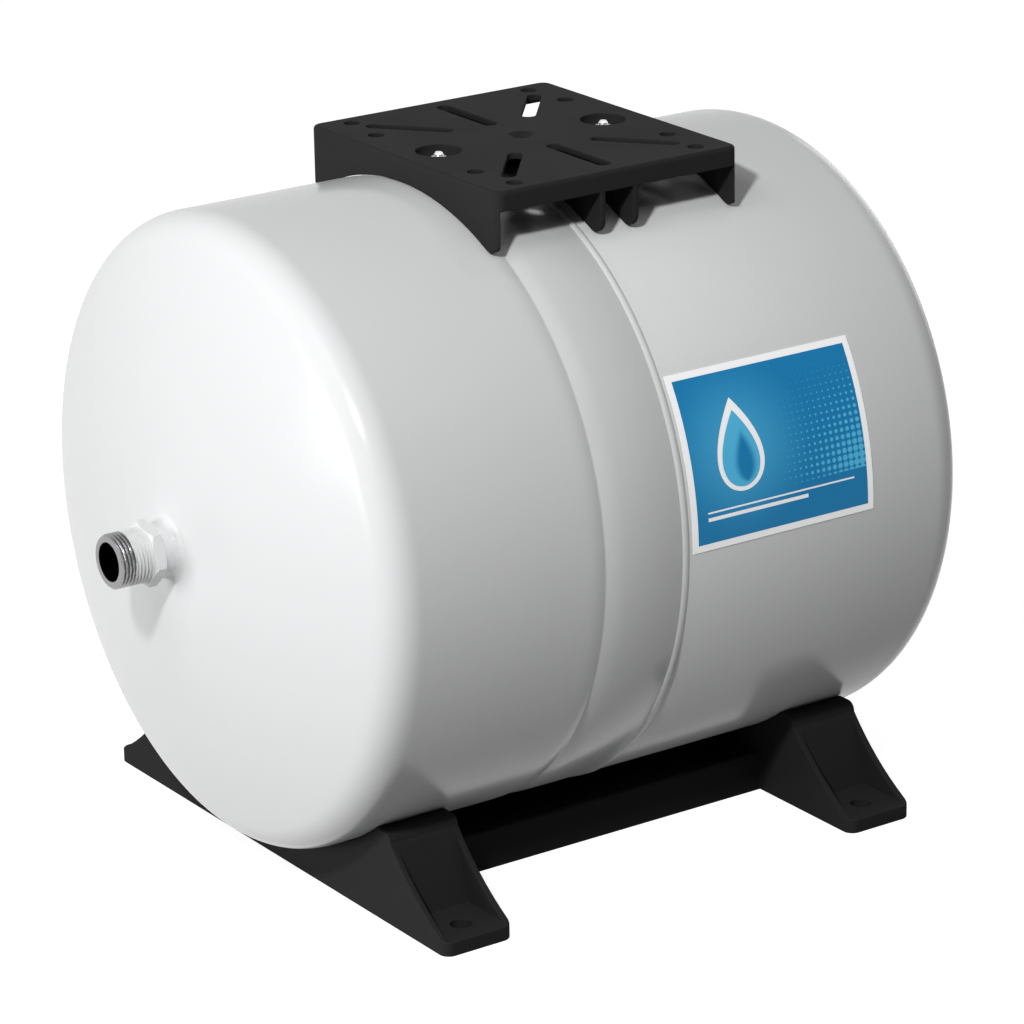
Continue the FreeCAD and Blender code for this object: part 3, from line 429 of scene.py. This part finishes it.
# The mill cuts six flats from the outside, between two places along the axis.
mill_hexagon, given = recipe("mill_hexagon", Flats=0.01, Turn=0.0, Start=0.0, End=0.01)
along, radius, angle = round_the_axis(mill_hexagon)
folded = maths(mill_hexagon, "PINGPONG", maths(mill_hexagon, "ADD", angle, given["Turn"]),
               math.pi / 6)
flat_line = maths(mill_hexagon, "DIVIDE", times(mill_hexagon, given["Flats"], 0.5),
                  maths(mill_hexagon, "COSINE", folded))
lost = times(mill_hexagon, excess(mill_hexagon, radius, flat_line),
             within(mill_hexagon, along, given["Start"], given["End"]))
end_recipe(mill_hexagon, move_out(mill_hexagon, given["Geometry"], along,
                                  maths(mill_hexagon, "SUBTRACT", radius, lost), angle), given)


def mixed(tree, below, above, mask):
    """One colour laid over another by a mask. Each is a socket or a plain colour."""
    mix = node(tree, "ShaderNodeMix", {"Factor": mask}, data_type="RGBA")
    for socket, value in ((mix.inputs[6], below), (mix.inputs[7], above)):
        if isinstance(value, bpy.types.NodeSocket):
            tree.links.new(value, socket)
        else:
            socket.default_value = (*value, 1)
    return mix.outputs[2]


bare_or_painted, metal_tree, metal_shader = finish("bare_or_painted_steel", bare_metal, 0.24)
texture(metal_tree, metal_shader, grain_size=0.0016, grain_depth=0.000004)
place = node(metal_tree, "ShaderNodeTexCoord").outputs["Object"]
along, across, height = node(metal_tree, "ShaderNodeSeparateXYZ", [place]).outputs
radius = radius_of(metal_tree, across, maths(metal_tree, "SUBTRACT", height, axis_height))
# The wall of the bore is coloured near black metal, painted shade for the dark inside of the deep
# bore.
outside = maths(metal_tree, "GREATER_THAN", radius, bore_radius + bore_shade_margin)
edge_noise = node(metal_tree, "ShaderNodeTexNoise",
                  {"Vector": place, "Scale": wander_scale, "Detail": 2.0}).outputs[0]
ragged = maths(metal_tree, "ADD", along, times(metal_tree, edge_noise, paint_wander))
painted = times(metal_tree, outside, ramp(metal_tree, ragged, *paint_edge))
colours = mixed(metal_tree, mixed(metal_tree, bore_painted_shade, bare_metal, outside), paint_white,
                painted)
rough = node(metal_tree, "ShaderNodeMapRange", [painted, 0.0, 1.0, 0.24, 0.36]).outputs[0]
for socket, value in (("Base Color", colours), ("Roughness", rough),
                      ("Metallic", maths(metal_tree, "SUBTRACT", 1.0, painted))):
    metal_tree.links.new(value, metal_shader.inputs[socket])

half_flats = collar_flats / 2
nipple_outline = (
    [(mouth + bore_chamfer, bore_radius), (mouth, bore_radius + bore_chamfer)]
    + line((mouth, thread_radius - chamfer), (mouth + chamfer, thread_radius), 6)
    + line((mouth + chamfer, thread_radius), (collar_start - hair, thread_radius), thread_rows)[1:]
    + line((collar_start, thread_radius), (collar_start + hair, half_flats), 1)
    + line((collar_start + 2 * hair, half_flats),
           (collar_start + collar_chamfer, collar_corner), 9)
    + line((collar_start + collar_chamfer, collar_corner),
           (collar_end - collar_chamfer, collar_corner), 4)[1:]
    + line((collar_end - collar_chamfer, collar_corner), (collar_end - 2 * hair, half_flats),
           9)[1:]
    + [(collar_end, thread_radius), (neck_end, thread_radius), (neck_end, bore_radius)]
)
inlet_nipple = turned("inlet_nipple_turning", nipple_outline, bare_or_painted, nipple_segments, [
    (cut_thread, {"Pitch": thread_pitch, "Depth": thread_depth, "Radius": thread_radius,
                  "Inside": bore_radius + 0.001, "Start": mouth + hair,
                  "End": collar_start - hair / 2, "Fade": thread_fade}),
    (mill_hexagon, {"Flats": collar_flats, "Turn": collar_turn, "Start": collar_start - hair / 10,
                    "End": collar_end - hair / 10})])

# Inlet weld. A hollow fillet all round the neck, painted with the tank.

leg = 0.0055
hollow = 0.0066
fillet_steps = 10
fillet_segments = 480

neck_foot = (-dome_at(thread_radius), thread_radius)
weld_top = (neck_foot[0] - leg, thread_radius)
weld_foot = (-dome_at(thread_radius + leg), thread_radius + leg)
middle = ((weld_top[0] + weld_foot[0]) / 2, (weld_top[1] + weld_foot[1]) / 2)
chord = Vector((weld_foot[0] - weld_top[0], weld_foot[1] - weld_top[1]))
off = math.sqrt(hollow**2 - (chord.length / 2)**2)
centre = (middle[0] - chord.y / chord.length * off, middle[1] + chord.x / chord.length * off)
turn_top = math.atan2(weld_top[1] - centre[1], weld_top[0] - centre[0])
turn_foot = math.atan2(weld_foot[1] - centre[1], weld_foot[0] - centre[0])
fillet = arc(centre, hollow, turn_top, turn_foot, fillet_steps)
fillet_ripples = {"Count": 46.0, "Height": 0.0001, "Middle": middle[0], "Width": leg / 2,
                  "Inside": thread_radius + 2e-4}
inlet_weld = turned("inlet_weld_fillet", [neck_foot] + fillet, powder_coat, fillet_segments,
                    [(ripples, fillet_ripples)])

for piece, replaced, slot in ((inlet_nipple, "inlet_nipple", "stainless"),
                              (inlet_weld, "inlet_weld", "tank_paint")):
    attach(piece, "root")
    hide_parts(replaced)

# Label. A printed vinyl film with a white border, stuck on the side of the rear shell. Its print
# is a plain design of a water drop, fading dots and two rules.

label_start = 0.0015
label_width = 0.135
film = 0.0002
label_radius = tank_radius + 0.0004
label_low = math.radians(0.2)
label_sweep = math.radians(31.5)
label_height = label_sweep * label_radius
columns = 24
rows = 48
border = 0.0041
print_blue = (0.004, 0.19, 0.425)
print_light = (0.08, 0.45, 0.72)
print_white = (0.97, 0.975, 0.98)
print_painted_glow = 0.2
drop_middle = 0.040
drop_fullness = 1.3
glow_height = 0.056
glow_fade = (0.058, 0.006)
glow_share = 0.55
dot_step = 0.0042
dot_largest = 0.52
dot_soft = 0.03
dots_across = (0.062, 0.128)
dots_up = (0.1, 0.034)
dots_foot = 0.0275

points = []
for row in range(rows + 1):
    turn = label_low - label_sweep * (1 - row / rows)
    for column in range(columns + 1):
        points.append((label_start + label_width * column / columns,
                       -label_radius * math.cos(turn),
                       axis_height - label_radius * math.sin(turn)))
wide = columns + 1
faces = [(row * wide + column, (row + 1) * wide + column, (row + 1) * wide + column + 1,
          row * wide + column + 1) for row in range(rows) for column in range(columns)]
label = new_piece("printed_label", points, (), faces)
artwork = label.data.uv_layers.new(name="artwork")
for loop in label.data.loops:
    row, column = divmod(loop.vertex_index, wide)
    artwork.data[loop.index].uv = (column / columns, 1 - row / rows)
thicken = label.modifiers.new("film", "SOLIDIFY")
thicken.thickness = film
thicken.offset = -1

printed_film, print_tree, print_shader = finish("printed_film", print_blue, 0.28, specular=0.2)
uv_place = node(print_tree, "ShaderNodeUVMap", uv_map="artwork").outputs[0]
across, up = node(print_tree, "ShaderNodeSeparateXYZ", [uv_place]).outputs[:2]
across = times(print_tree, across, label_width)
up = times(print_tree, up, label_height)


def inside(value, edge, soft=0.0002):
    """1 where the value is under the edge, with a soft printed edge."""
    return ramp(print_tree, value, edge + soft / 2, edge - soft / 2)


def from_line(value, middle):
    return maths(print_tree, "ABSOLUTE", maths(print_tree, "SUBTRACT", value, middle))


def length(across, up):
    """How far a point is from the origin of its two values."""
    pair = node(print_tree, "ShaderNodeCombineXYZ", [across, up, 0.0]).outputs[0]
    return node(print_tree, "ShaderNodeVectorMath", [pair], operation="LENGTH").outputs["Value"]


def drop(middle, foot, height, width, soft):
    """A water drop: round below and pointed above."""
    share = maths(print_tree, "DIVIDE", maths(print_tree, "SUBTRACT", up, foot), height,
                  clamp=True)
    half = times(print_tree, maths(print_tree, "SQRT", share),
                 maths(print_tree, "SUBTRACT", 1.0, share), width * drop_fullness)
    past = maths(print_tree, "SUBTRACT", from_line(across, middle), half)
    return inside(past, -soft / 2, soft)


glow_reach = length(from_line(across, drop_middle), from_line(up, glow_height))
glow = times(print_tree, ramp(print_tree, glow_reach, *glow_fade), glow_share)
picture = mixed(print_tree, print_blue, print_light, glow)

dot_fade = times(print_tree, ramp(print_tree, across, *dots_across, smooth=False),
                 ramp(print_tree, up, *dots_up, smooth=False))
in_cell = [maths(print_tree, "SUBTRACT", maths(print_tree, "FRACT", maths(
    print_tree, "DIVIDE", value, dot_step)), 0.5) for value in (across, up)]
past_dot = maths(print_tree, "SUBTRACT", length(*in_cell), times(print_tree, dot_fade, dot_largest))
dots = times(print_tree, ramp(print_tree, past_dot, dot_soft, -dot_soft),
             maths(print_tree, "GREATER_THAN", up, dots_foot))
picture = mixed(print_tree, picture, print_light, dots)

outer_drop = drop(drop_middle, foot=0.031, height=0.056, width=0.034, soft=0.0003)
inner_drop = drop(drop_middle, foot=0.0335, height=0.046, width=0.0275, soft=0.0003)
shade_drop = drop(drop_middle + 0.0028, foot=0.0355, height=0.034, width=0.019, soft=0.006)
for colour, mask in ((print_white, outer_drop), (print_light, inner_drop),
                     (print_blue, shade_drop)):
    picture = mixed(print_tree, picture, colour, mask)

# Each rule has its height on the label, half its thickness, its start and its end.
for height, half_thick, start, end in ((0.0225, 0.0005, 0.012, 0.121),
                                       (0.0185, 0.0011, 0.012, 0.086)):
    rule = times(print_tree, inside(from_line(up, height), half_thick),
                 inside(from_line(across, (start + end) / 2), (end - start) / 2))
    picture = mixed(print_tree, picture, print_white, rule)
field = times(print_tree, inside(from_line(across, label_width / 2), label_width / 2 - border),
              inside(from_line(up, label_height / 2), label_height / 2 - border))
picture = mixed(print_tree, print_white, picture, field)

# The print glows faintly in its own colours, painted light that brightens the label where the
# tank's side is in shade.
for socket in ("Base Color", "Emission Color"):
    print_tree.links.new(picture, print_shader.inputs[socket])
print_shader.inputs["Emission Strength"].default_value = print_painted_glow
label.data.materials.append(printed_film)
settle(label)
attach(label, "root")
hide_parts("label")

# Pump platform. Moulded in black polypropylene with a fine texture: a slotted plate on four cross
# walls that sit on the tank, with a thin rim at each side and two cups for the nuts.

edge_round = 0.0007
edge_segments = 3
corner_angle = 38
same_point = 2e-6
same_face = 0.6

black_moulding, black_tree, black_shader = finish("black_moulding", (0.027, 0.027, 0.0275), 0.42,
                                                  specular=0.005)
texture(black_tree, black_shader, grain_size=0.0005, grain_depth=0.000012, shine=(0.38, 0.46))


def moulding(name, cad_name):
    """The solid of a moulding with its sharp corners broken by a small radius."""
    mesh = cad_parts[cad_name].data.copy()
    work = bmesh.new()
    work.from_mesh(mesh)
    bmesh.ops.remove_doubles(work, verts=work.verts, dist=same_point)
    bmesh.ops.dissolve_limit(work, angle_limit=math.radians(same_face), verts=work.verts,
                             edges=work.edges)
    work.to_mesh(mesh)
    work.free()
    piece = bpy.data.objects.new(name, mesh)
    bpy.context.collection.objects.link(piece)
    piece.data.materials.clear()
    piece.data.materials.append(black_moulding)
    rounding = piece.modifiers.new("edge_round", "BEVEL")
    rounding.width = edge_round
    rounding.segments = edge_segments
    rounding.limit_method = "ANGLE"
    rounding.angle_limit = math.radians(corner_angle)
    rounding.use_clamp_overlap = False
    settle(piece, crease=corner_angle)
    flatten = piece.modifiers.new("flat_faces", "WEIGHTED_NORMAL")
    flatten.keep_sharp = True
    piece.data = applied(piece)
    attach(piece, "root")
    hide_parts(cad_name)


moulding("pump_platform_moulding", "pump_platform")

# Base. One moulding of the same plastic: two hollow feet with a saddle each, joined by two beams
# and a deck.

moulding("base_moulding", "base")

# Studs, washers and nuts. M6 studs are welded to the shell, two above for the platform and two
# below for the base. Each carries a zinc plated washer and nut against the plastic.

stud_radius = 0.003
stud_pitch = 0.001
stud_thread_depth = 0.0006
stud_proud = 0.003
stud_chamfer = 0.001
stud_rows = 90
weld_collar = (0.0038, 0.001)
washer_radii = (0.0032, 0.006)
washer_thick = 0.0016
washer_under = 0.0002
washer_over = 0.0003
nut_flats = 0.010
nut_corner = nut_flats / math.sqrt(3)
nut_face = nut_flats / 2 - 0.0002
nut_thick = 0.005
nut_edge = 0.0007
nut_mouth = 0.0003
platform_middle = 0.0186
cup_place = 0.0605
cup_floor = 0.0046
foot_place = 0.1499
saddle_floor = 0.0042

zinc, zinc_tree, zinc_shader = finish("zinc_plate", (0.72, 0.73, 0.745), 0.26, metallic=1.0)
texture(zinc_tree, zinc_shader, grain_size=0.0009, grain_depth=0.000006, shine=(0.2, 0.36))


def fastening(name, shell_point, upward, plastic):
    """A stud with its washer and nut, from the shell outwards through the plastic's thickness."""
    quarter = -math.pi / 2 if upward else math.pi / 2
    place = Matrix.Translation(shell_point) @ Matrix.Rotation(quarter, 4, "Y")
    washer_top = plastic + washer_thick
    nut_top = washer_top + nut_thick
    tip = nut_top + stud_proud
    collar_radius, collar_top = weld_collar
    washer_hole, washer_rim = washer_radii
    stud_outline = (
        [(0, 0), (0, collar_radius), (collar_top, collar_radius)]
        + line((collar_top, stud_radius), (tip - stud_chamfer, stud_radius), stud_rows)
        + [(tip, stud_radius - stud_chamfer), (tip, 0)]
    )
    washer_outline = [
        (plastic, washer_hole), (plastic, washer_rim - washer_under),
        (plastic + washer_under, washer_rim), (washer_top - washer_over, washer_rim),
        (washer_top, washer_rim - washer_over), (washer_top, washer_hole),
    ]
    nut_outline = (
        [(washer_top, stud_radius), (washer_top, nut_face)]
        + line((washer_top + hair, nut_face), (washer_top + nut_edge, nut_corner), 7)
        + line((nut_top - nut_edge, nut_corner), (nut_top - hair, nut_face), 7)
        + [(nut_top, nut_face), (nut_top, stud_radius + nut_mouth),
           (nut_top - nut_mouth, stud_radius)]
    )
    thread = {"Pitch": stud_pitch, "Depth": stud_thread_depth, "Radius": stud_radius,
              "Inside": stud_radius / 2, "Start": collar_top + hair / 10, "End": tip,
              "Fade": hair}
    hexagon = {"Flats": nut_flats, "Turn": math.pi / 6, "Start": washer_top - hair / 10,
               "End": nut_top + hair / 10}
    for part, outline, segments, steps in (
            ("stud", stud_outline, 48, [(cut_thread, thread)]),
            ("washer", washer_outline, 64, []),
            ("nut", nut_outline, 72, [(mill_hexagon, hexagon)])):
        piece = turned(f"{name}_{part}", outline, zinc, segments, steps, place)
        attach(piece, "root")
        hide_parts(f"{name}_{part}")


for end, side in (("front", -1), ("rear", 1)):
    fastening(f"platform_{end}", (platform_middle + side * cup_place, 0,
                                  axis_height + tank_radius), True, cup_floor)
    fastening(f"base_{end}", (side * foot_place, 0, axis_height - tank_radius), False,
              saddle_floor)

# Pieces inside the tank. The liner, seals, diaphragm and clench ring are sealed in and show only
# through the inlet, and the charging valve is under its cover. They keep their solids' shapes.

inside_finishes = {"powder_coat": powder_coat}
for name, colour, roughness, metallic, grain_size, grain_depth, shine in (
        ("liner_plastic", (0.03, 0.03, 0.033), 0.4, 0.0, 0.001, 0.000008, None),
        ("black_rubber", (0.02, 0.02, 0.02), 0.7, 0.0, 0.0008, 0.00002, None),
        ("rolled_steel", (0.42, 0.42, 0.43), 0.38, 1.0, 0.0012, 0.000006, (0.32, 0.44)),
        ("turned_brass", (0.66, 0.47, 0.2), 0.28, 1.0, 0.0006, 0.000004, (0.22, 0.34)),
        ("smooth_black_plastic", (0.012, 0.012, 0.0125), 0.32, 0.0, 0.0007, 0.000004,
         (0.28, 0.36))):
    inside_finishes[name], tree, shader = finish(name, colour, roughness, metallic)
    texture(tree, shader, grain_size, grain_depth, shine)

for cad_name, material, slot in (
        ("water_liner", "liner_plastic", "liner"),
        ("neck_seal_outer", "black_rubber", "seal"),
        ("neck_seal_inner", "black_rubber", "seal"),
        ("diaphragm", "black_rubber", "butyl"),
        ("clench_ring", "rolled_steel", "ring_steel"),
        ("air_valve_boss", "powder_coat", "tank_paint"),
        ("air_valve_body", "turned_brass", "brass"),
        ("air_valve_seal", "black_rubber", "seal"),
        ("air_valve_core", "turned_brass", "brass"),
        ("air_valve_cap", "smooth_black_plastic", "black_cap")):
    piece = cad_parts[cad_name]
    piece.data.materials.clear()
    piece.data.materials.append(inside_finishes[material])

# Valve cover. A plain moulded cup pushed over the boss, with shallow ribs to grip it by.

cover_radius = 0.0151
cover_inside = 0.01315
cover_start = straight_half + dish_depth + 0.0015
cover_end = cover_start + 0.029
cover_wall = 0.002
cover_round = 0.003
cover_lip = 0.0004
cover_rows = 34
cover_segments = 240
rib_fade = 0.0012
rib_edges = (0.5, -0.3)

# Grip ribs: valleys along the cup's side that fade out at both ends.
grip_ribs, given = recipe("grip_ribs", Count=24.0, Depth=0.0005, Start=0.0, End=0.01, Inside=0.01)
along, radius, angle = round_the_axis(grip_ribs)
swing = maths(grip_ribs, "COSINE", times(grip_ribs, angle, given["Count"]))
valley = ramp(grip_ribs, swing, *rib_edges)
fade_in = ramp(grip_ribs, along, given["Start"],
               maths(grip_ribs, "ADD", given["Start"], rib_fade))
fade_out = ramp(grip_ribs, along, given["End"],
                maths(grip_ribs, "SUBTRACT", given["End"], rib_fade))
sunk = times(grip_ribs, valley, fade_in, fade_out,
             maths(grip_ribs, "GREATER_THAN", radius, given["Inside"]), given["Depth"])
end_recipe(grip_ribs, move_out(grip_ribs, given["Geometry"], along,
                               maths(grip_ribs, "SUBTRACT", radius, sunk), angle), given)

cover_outline = (
    [(cover_start, cover_inside + cover_lip), (cover_start, cover_radius - cover_lip),
     (cover_start + cover_lip, cover_radius)]
    + line((cover_start + 0.001, cover_radius), (cover_end - 0.0031, cover_radius), cover_rows)
    + arc((cover_end - cover_round, cover_radius - cover_round), cover_round, math.pi / 2, 0, 8)
    + [(cover_end, 0), (cover_end - cover_wall, 0), (cover_end - cover_wall, cover_inside),
       (cover_start + cover_lip, cover_inside)]
)
cover_ribs = {"Count": 30.0, "Depth": 0.0005, "Start": cover_start + 0.004,
              "End": cover_end - 0.005, "Inside": cover_inside + 0.001}
valve_cover = turned("valve_cover_cup", cover_outline, inside_finishes["smooth_black_plastic"],
                     cover_segments, [(grip_ribs, cover_ribs)])
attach(valve_cover, "root")
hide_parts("valve_cover")

# Studio. A pale floor that fades to white in the picture but keeps the tank's shadow, a small key
# light at the left, a wide lamp before the inlet end, and weak ones above and behind.

floor_reach = 6
floor_grey = (0.34, 0.34, 0.34, 1)
floor_lift = 0.93
world_dim = 0.04
white = (1, 1, 1, 1)
tank_middle = (0, 0, 0.22)


def seen_by_camera(tree):
    """1 for what the camera sees, directly, in a mirror or through glass."""
    path = node(tree, "ShaderNodeLightPath").outputs
    return maths(tree, "MAXIMUM", path["Is Camera Ray"], maths(
        tree, "MAXIMUM", path["Is Glossy Ray"], path["Is Transmission Ray"]))


corners = [(-floor_reach, -floor_reach, 0), (floor_reach, -floor_reach, 0),
           (floor_reach, floor_reach, 0), (-floor_reach, floor_reach, 0)]
floor = new_piece("studio_floor", corners, (), [(0, 1, 2, 3)])
floor_paint = bpy.data.materials.new("studio_floor")
floor_paint.use_nodes = True
tree = floor_paint.node_tree
tree.nodes.clear()
matt = node(tree, "ShaderNodeBsdfDiffuse", [floor_grey]).outputs[0]
lift = times(tree, seen_by_camera(tree), floor_lift)
glow = node(tree, "ShaderNodeEmission", [white, lift]).outputs[0]
surface = node(tree, "ShaderNodeAddShader", [matt, glow]).outputs[0]
node(tree, "ShaderNodeOutputMaterial", [surface])
floor.data.materials.append(floor_paint)

world = bpy.data.worlds.new("studio")
bpy.context.scene.world = world
world.use_nodes = True
tree = world.node_tree
tree.nodes.clear()
dim = node(tree, "ShaderNodeBackground", [white, world_dim]).outputs[0]
bright = node(tree, "ShaderNodeBackground", [white, 1.0]).outputs[0]
backdrop = node(tree, "ShaderNodeMixShader", [seen_by_camera(tree), dim, bright]).outputs[0]
node(tree, "ShaderNodeOutputWorld", [backdrop])


def lamp(name, place, size, power, aim=tank_middle):
    """A square area lamp that points at a place on the tank."""
    light = bpy.data.lights.new(name, "AREA")
    light.size = size
    light.energy = power
    holder = bpy.data.objects.new(name, light)
    bpy.context.collection.objects.link(holder)
    holder.location = place
    holder.rotation_euler = (Vector(aim) - Vector(place)).to_track_quat("-Z", "Y").to_euler()


lamp("key", (-1.556, -1.18, 1.768), size=0.17, power=33.6)
lamp("front", (-3.2, 0.6, 0.3), size=1.5, power=74)
lamp("above", (0.35, -1.7, 3.2), size=2.2, power=18)
lamp("high", (-1.7, -0.4, 2.3), size=0.9, power=8.5, aim=(-0.1, 0, 0.3))
lamp("rear", (2.9, 1.3, 0.8), size=1.6, power=11)

# Camera. A long lens at the photograph's angle.

camera_place = Vector((-1.48253, -2.18598, 1.11626))
yaw = math.radians(34.264)
pitch = math.radians(19.421)
roll = math.radians(-1.006)
look = Vector((math.sin(yaw) * math.cos(pitch), math.cos(yaw) * math.cos(pitch), -math.sin(pitch)))
level = look.cross(Vector((0, 0, 1))).normalized()
upright = level.cross(look)
right = level * math.cos(roll) + upright * math.sin(roll)
up = upright * math.cos(roll) - level * math.sin(roll)
view = bpy.data.cameras.new("view")
view.lens = 158.78
view.sensor_width = 36
camera = bpy.data.objects.new("view", view)
bpy.context.collection.objects.link(camera)
turn = Matrix((right, up, -look)).transposed()
camera.matrix_world = Matrix.Translation(camera_place) @ turn.to_4x4()
bpy.context.scene.camera = camera
bpy.context.scene.view_settings.view_transform = "Standard"
